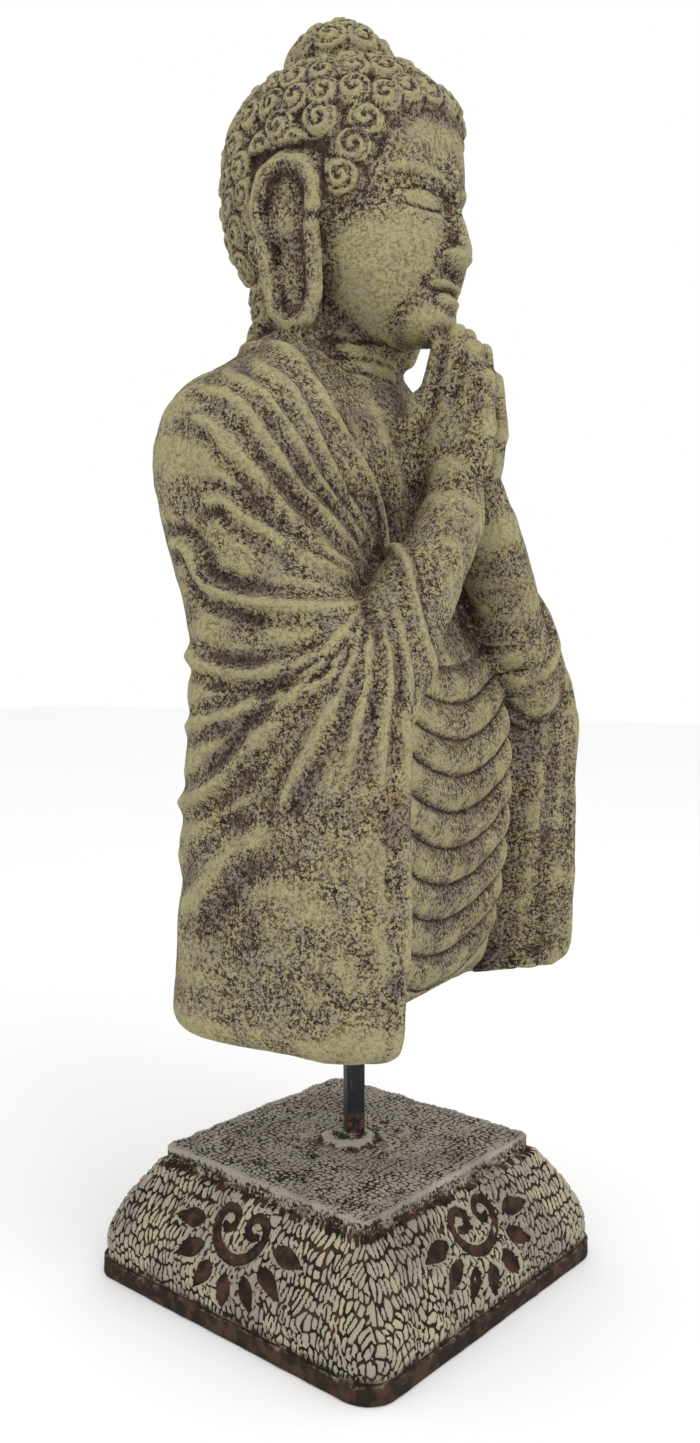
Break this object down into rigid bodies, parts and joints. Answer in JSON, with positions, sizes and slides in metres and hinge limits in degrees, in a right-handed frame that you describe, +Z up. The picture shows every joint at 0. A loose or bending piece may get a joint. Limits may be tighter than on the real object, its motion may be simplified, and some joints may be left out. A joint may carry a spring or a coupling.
{
  "type": "buddha bust",
  "caption": "Cast half figure of a Buddha with joined hands and a draped cloak, held by a square steel rod in a square base with cut flowers",
  "frame": {"origin": "under the middle of the base, on the ground, on the rod's axis", "axes": "+Z up along the rod, -Y the way the figure faces, +X the figure's left"},
  "size_m": [0.3171, 0.2662, 0.7888],
  "materials": {
    "painted_stone": "cast stone, dark purple brown in the hollows, dry brushed with pale yellow green",
    "painted_stone_base": "cast stone with a coarse crackle, dark in the cracks and dry brushed pale green",
    "dark_steel": "blue black steel bar, worn, with a little rust at the foot"
  },
  "bodies": {
    "root": {"base": "painted_stone_base", "figure": "painted_stone", "rod": "dark_steel"}
  },
  "joints": []
}
